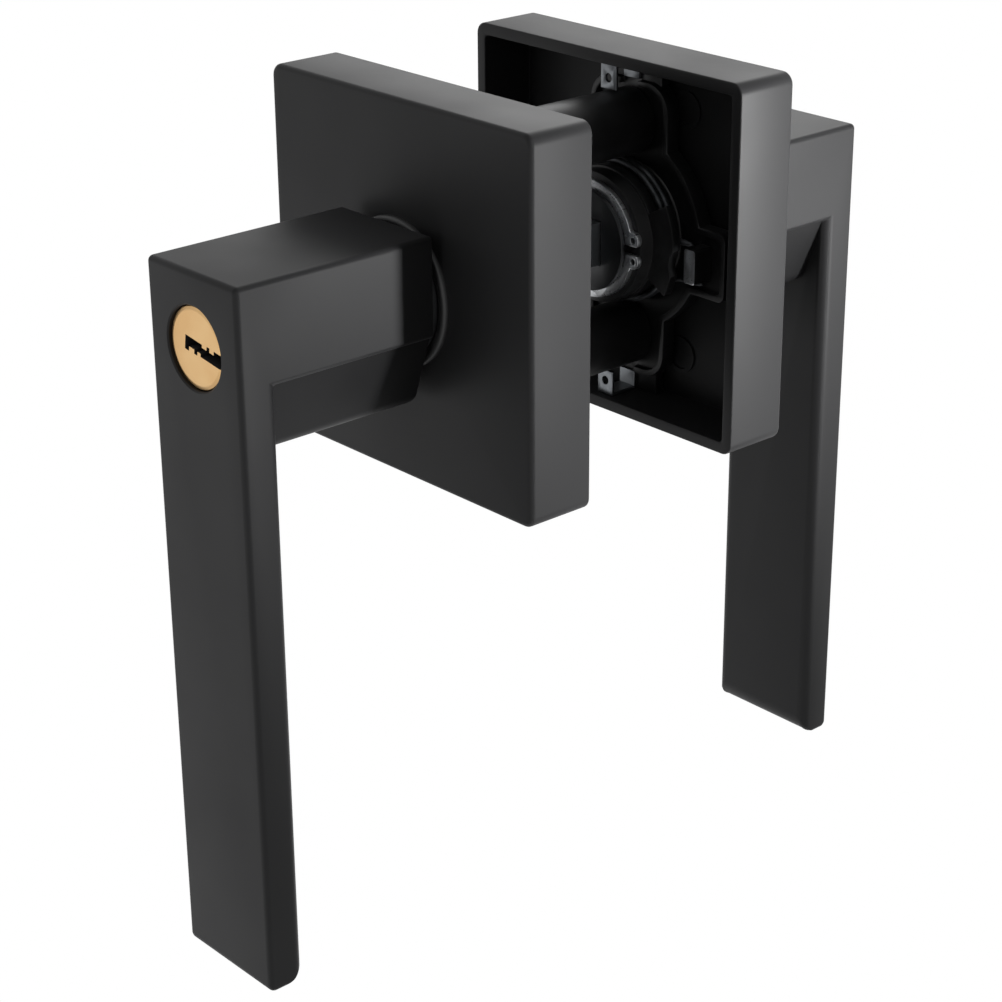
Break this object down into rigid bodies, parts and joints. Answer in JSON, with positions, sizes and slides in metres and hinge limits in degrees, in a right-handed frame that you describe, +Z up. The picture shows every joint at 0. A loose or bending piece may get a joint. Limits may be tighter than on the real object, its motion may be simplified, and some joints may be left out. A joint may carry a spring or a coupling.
{
  "type": "keyed door lever set",
  "caption": "Pair of straight square-rose door levers, keyed outside and with a turn button inside, joined through the door by a square spindle.",
  "frame": {"origin": "on the spindle axis, halfway through the door", "axes": "+Y along the spindle axis from the keyed outside to the inside, +Z up, so both levers hang along -Z, +X to the right seen from outside"},
  "size_m": [0.0664, 0.149, 0.1484],
  "materials": {
    "black_coat": "matte black powder coat",
    "die_cast_zinc": "bare die cast",
    "nylon_bush": "moulded",
    "spring_steel": "bright drawn",
    "bright_steel": "zinc plated",
    "dark_steel": "black oxide",
    "brass": "satin, turned"
  },
  "bodies": {
    "chassis": {"outside_rose_cover": "black_coat", "inside_rose_cover": "black_coat", "outside_mounting_plate": "dark_steel", "inside_mounting_plate": "dark_steel", "outside_bush": "nylon_bush", "inside_bush": "nylon_bush", "outside_cover_clips": "spring_steel", "inside_cover_clips": "spring_steel", "outside_stop_lugs": "bright_steel", "inside_stop_lugs": "bright_steel", "outside_return_spring": "spring_steel", "inside_return_spring": "spring_steel", "screw_posts": "dark_steel", "mounting_screws": "bright_steel"},
    "outside_lever": {"outside_lever": "black_coat", "outside_shank": "die_cast_zinc", "outside_cam": "dark_steel", "outside_snap_ring": "bright_steel", "outside_grub_screw": "dark_steel", "square_spindle": "bright_steel", "cylinder_body": "brass", "chamber_cover": "brass", "driver_pins": "bright_steel", "pin_springs": "spring_steel"},
    "key_plug": {"key_plug": "brass", "key_pins": "brass", "plug_clip": "spring_steel", "tail_bar": "bright_steel"},
    "inside_lever": {"inside_lever": "black_coat", "inside_shank": "die_cast_zinc", "inside_cam": "dark_steel", "inside_snap_ring": "bright_steel", "inside_grub_screw": "dark_steel"},
    "turn_button": {"turn_button": "black_coat", "button_clip": "spring_steel"}
  },
  "joints": [
    {"name": "outside_lever_turn", "type": "hinge", "parent": "chassis", "child": "outside_lever", "pos_m": [0, 0, 0], "axis": [0, 1, 0], "range_deg": [-42, 42], "stiffness_Nm_per_rad": 1.2},
    {"name": "key_plug_turn", "type": "hinge", "parent": "outside_lever", "child": "key_plug", "pos_m": [0, 0, 0], "axis": [0, 1, 0], "range_deg": [0, 90]},
    {"name": "inside_lever_turn", "type": "hinge", "parent": "chassis", "child": "inside_lever", "pos_m": [0, 0, 0], "axis": [0, 1, 0], "range_deg": [-42, 42], "stiffness_Nm_per_rad": 1.2},
    {"name": "turn_button_turn", "type": "hinge", "parent": "inside_lever", "child": "turn_button", "pos_m": [0, 0, 0], "axis": [0, 1, 0], "range_deg": [0, 90]}
  ],
  "couplings": [
    {"joint": "inside_lever_turn", "follows": "outside_lever_turn", "ratio": 1},
    {"joint": "turn_button_turn", "follows": "key_plug_turn", "ratio": 1}
  ]
}
